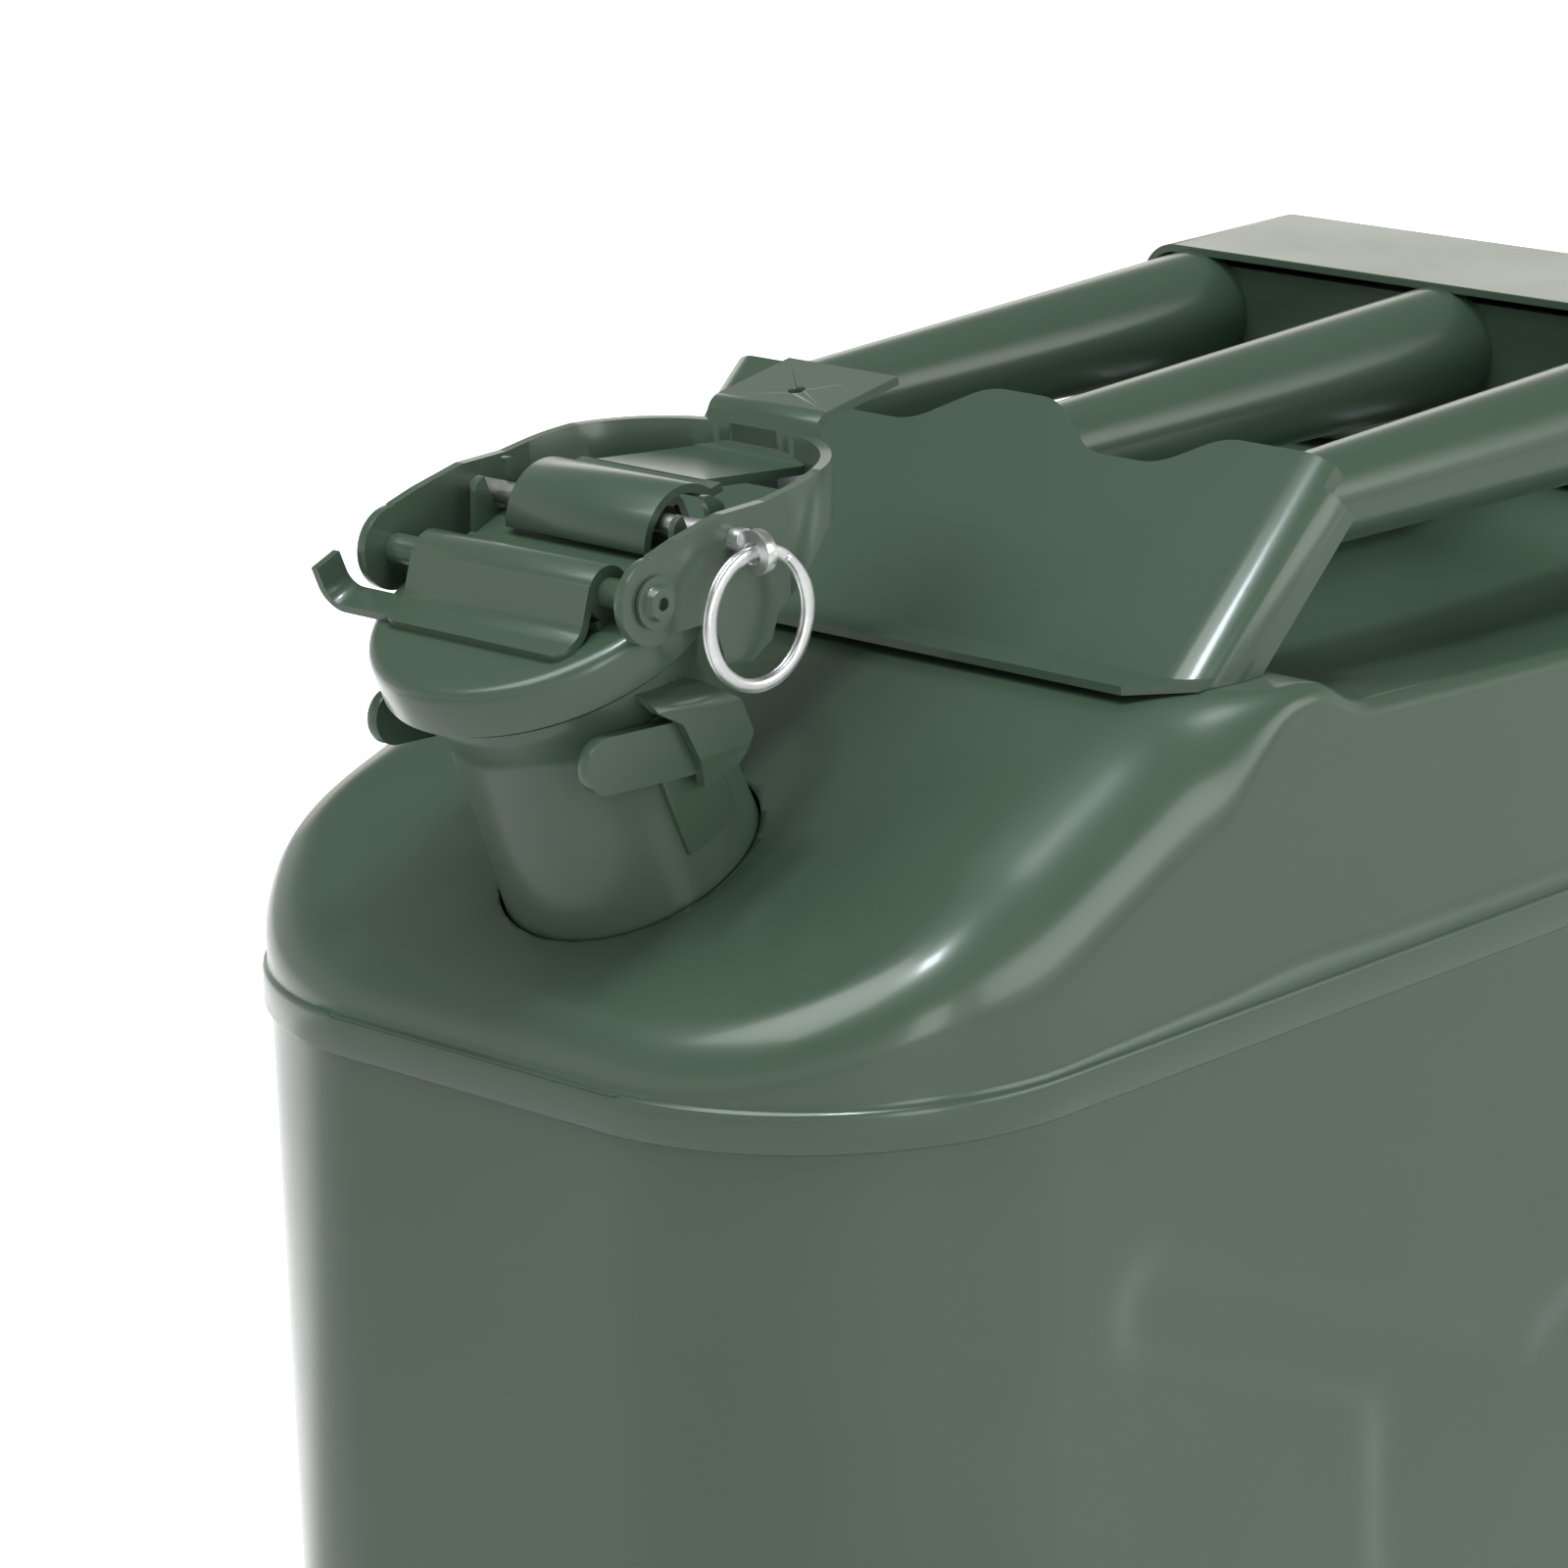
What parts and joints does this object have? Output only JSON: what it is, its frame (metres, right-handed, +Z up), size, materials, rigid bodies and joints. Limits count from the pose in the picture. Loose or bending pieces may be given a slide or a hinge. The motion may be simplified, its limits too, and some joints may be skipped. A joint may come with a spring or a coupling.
{
  "type": "jerry can",
  "caption": "Upright steel fuel can with a tilted spout, a cam-lever cap locked by a ring pin, and a carrying handle of parallel bars.",
  "frame": {"origin": "under the middle of the overall bounding box, on the surface the can stands on", "axes": "+X along the can from the spout end to the back, +Y across it away from the pictured wide side, +Z up"},
  "size_m": [0.3518, 0.165, 0.47],
  "materials": {
    "green_paint": "semi-gloss grey-olive green enamel",
    "zinc_plate": "bright zinc plate",
    "black_rubber": "matt"
  },
  "bodies": {
    "can": {"body_shell": "green_paint", "base_pan": "green_paint", "top_shell": "green_paint", "filler_neck": "green_paint", "lug_plate_near": "green_paint", "lug_plate_far": "green_paint", "lug_tongue_near": "green_paint", "lug_tongue_far": "green_paint", "lug_keeper_near": "green_paint", "lug_keeper_far": "green_paint", "hinge_bracket": "green_paint", "hinge_pin": "green_paint", "front_handle_bracket": "green_paint", "back_handle_bracket": "green_paint", "back_handle_web": "green_paint", "handle_bar_near": "green_paint", "handle_bar_middle": "green_paint", "handle_bar_far": "green_paint"},
    "lid": {"cap_disc": "green_paint", "cap_gasket": "black_rubber", "gasket_washer": "zinc_plate", "lid_bridge": "green_paint", "pivot_rod": "green_paint", "lid_yoke": "green_paint"},
    "lever": {"closing_lever": "green_paint"},
    "safety_pin": {"safety_pin": "zinc_plate"},
    "ring": {"split_ring": "zinc_plate"}
  },
  "joints": [
    {"name": "lid_hinge", "type": "hinge", "parent": "can", "child": "lid", "pos_m": [-0.11356, 0, 0.44231], "axis": [0, 1, 0], "range_deg": [0, 110]},
    {"name": "lever_pivot", "type": "hinge", "parent": "lid", "child": "lever", "pos_m": [-0.15315, 0, 0.44982], "axis": [0, -1, 0], "range_deg": [0, 100]},
    {"name": "safety_pin_slide", "type": "slide", "parent": "lever", "child": "safety_pin", "axis": [0, -1, 0], "range_m": [0, 0.07]},
    {"name": "ring_swing", "type": "hinge", "parent": "safety_pin", "child": "ring", "pos_m": [-0.13494, -0.0354, 0.45494], "axis": [-1, 0, 0], "range_deg": [0, 100]}
  ],
  "couplings": [
    {"joint": "lever_pivot", "follows": "lid_hinge", "ratio": 0.9}
  ]
}
